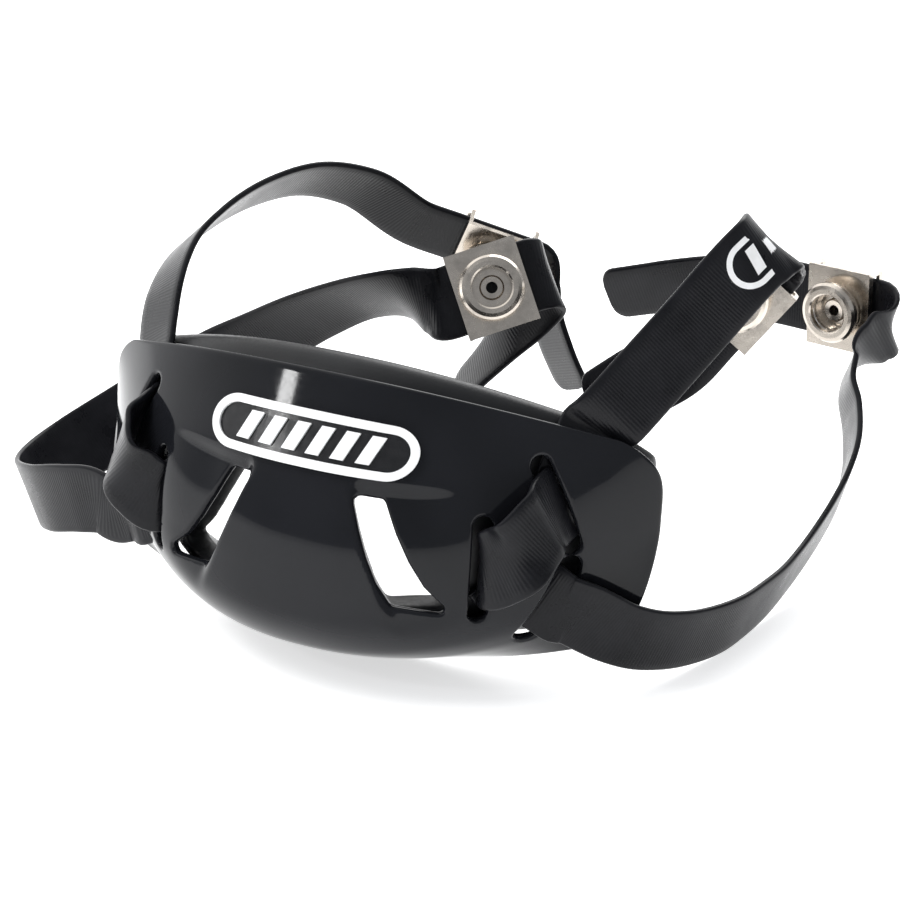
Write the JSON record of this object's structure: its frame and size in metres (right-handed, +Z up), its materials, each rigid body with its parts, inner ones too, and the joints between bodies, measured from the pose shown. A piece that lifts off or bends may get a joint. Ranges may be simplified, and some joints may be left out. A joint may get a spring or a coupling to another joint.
{
  "type": "football helmet chin strap",
  "caption": "Helmet chin strap: glossy hard chin cup with vents and padded liner, straps woven through its slots, and sliding metal snap buckles that clip onto helmet studs.",
  "frame": {"origin": "on the table, below the middle of the whole strap as it lies", "axes": "+Z up, the chin cup's front faces -Y, the wearer's jaw side faces +Y, +X is the right of someone who looks at the cup's front"},
  "size_m": [0.2149, 0.1841, 0.1118],
  "materials": {
    "shell": "gloss",
    "liner": "satin",
    "badge_black": "gloss",
    "badge_white": "satin",
    "strap": "satin, fine cross ribs",
    "nickel": "polished nickel",
    "spring_wire": "bright wire"
  },
  "bodies": {
    "cup": {"cup_shell": "shell", "cup_liner": "liner", "badge_base": "badge_black", "badge_ring": "badge_white", "badge_bars": "badge_white", "weave_left": "strap", "weave_right": "strap"},
    "upper_left_strap_body": {"upper_left_strap": "strap"},
    "upper_left_buckle": {"upper_left_plate": "nickel"},
    "upper_left_snap": {"upper_left_socket": "nickel", "upper_left_spring": "spring_wire", "upper_left_eyelet": "nickel"},
    "upper_right_strap_body": {"upper_right_strap": "strap"},
    "upper_right_buckle": {"upper_right_plate": "nickel"},
    "upper_right_snap": {"upper_right_socket": "nickel", "upper_right_spring": "spring_wire", "upper_right_eyelet": "nickel"},
    "lower_left_strap_body": {"lower_left_strap": "strap"},
    "lower_left_buckle": {"lower_left_plate": "nickel"},
    "lower_left_snap": {"lower_left_socket": "nickel", "lower_left_spring": "spring_wire", "lower_left_eyelet": "nickel"},
    "lower_right_strap_body": {"lower_right_strap": "strap"},
    "lower_right_buckle": {"lower_right_plate": "nickel"},
    "lower_right_snap": {"lower_right_socket": "nickel", "lower_right_spring": "spring_wire", "lower_right_eyelet": "nickel"}
  },
  "joints": [
    {"name": "upper_left_strap_flex", "type": "hinge", "parent": "cup", "child": "upper_left_strap_body", "pos_m": [-0.0538, -0.0438, 0.07035], "axis": [0.7912, -0.4656, 0.3965], "range_deg": [0, 14], "stiffness_Nm_per_rad": 0.5},
    {"name": "upper_left_buckle_slide", "type": "slide", "parent": "upper_left_strap_body", "child": "upper_left_buckle", "axis": [0.8772, 0.3588, -0.319], "range_m": [-0.008, 0]},
    {"name": "upper_left_snap_swivel", "type": "hinge", "parent": "upper_left_buckle", "child": "upper_left_snap", "pos_m": [0.0007, 0.0402, 0.06935], "axis": [0.1922, -0.8713, -0.4517], "continuous": true},
    {"name": "upper_right_strap_flex", "type": "hinge", "parent": "cup", "child": "upper_right_strap_body", "pos_m": [0.0727, -0.0438, 0.07135], "axis": [-0.6274, -0.3048, 0.7165], "range_deg": [-14, 6], "stiffness_Nm_per_rad": 0.5},
    {"name": "upper_right_buckle_slide", "type": "slide", "parent": "upper_right_strap_body", "child": "upper_right_buckle", "axis": [-0.561, -0.3005, -0.7714], "range_m": [0, 0.012]},
    {"name": "upper_right_snap_swivel", "type": "hinge", "parent": "upper_right_buckle", "child": "upper_right_snap", "pos_m": [0.0837, 0.0042, 0.08535], "axis": [0.227, -0.9519, 0.2058], "continuous": true},
    {"name": "lower_left_strap_flex", "type": "hinge", "parent": "cup", "child": "lower_left_strap_body", "pos_m": [-0.0573, -0.06, 0.02315], "axis": [-0.4547, 0.1212, 0.8824], "range_deg": [-12, 0], "stiffness_Nm_per_rad": 0.5},
    {"name": "lower_left_buckle_slide", "type": "slide", "parent": "lower_left_strap_body", "child": "lower_left_buckle", "axis": [0.7957, 0.5271, 0.2984], "range_m": [-0.0025, 0.0015]},
    {"name": "lower_left_snap_swivel", "type": "hinge", "parent": "lower_left_buckle", "child": "lower_left_snap", "pos_m": [0.0157, 0.0062, 0.07335], "axis": [0.385, -0.8204, 0.4228], "continuous": true},
    {"name": "lower_right_strap_flex", "type": "hinge", "parent": "cup", "child": "lower_right_strap_body", "pos_m": [0.0717, -0.0597, 0.02255], "axis": [0.5608, 0.1741, 0.8094], "range_deg": [-12, 5], "stiffness_Nm_per_rad": 0.5},
    {"name": "lower_right_buckle_slide", "type": "slide", "parent": "lower_right_strap_body", "child": "lower_right_buckle", "axis": [-0.9713, 0.2303, -0.0601], "range_m": [0, 0.004]},
    {"name": "lower_right_snap_swivel", "type": "hinge", "parent": "lower_right_buckle", "child": "lower_right_snap", "pos_m": [0.0872, 0.0797, 0.05535], "axis": [-0.2334, -0.9711, 0.0499], "continuous": true}
  ]
}
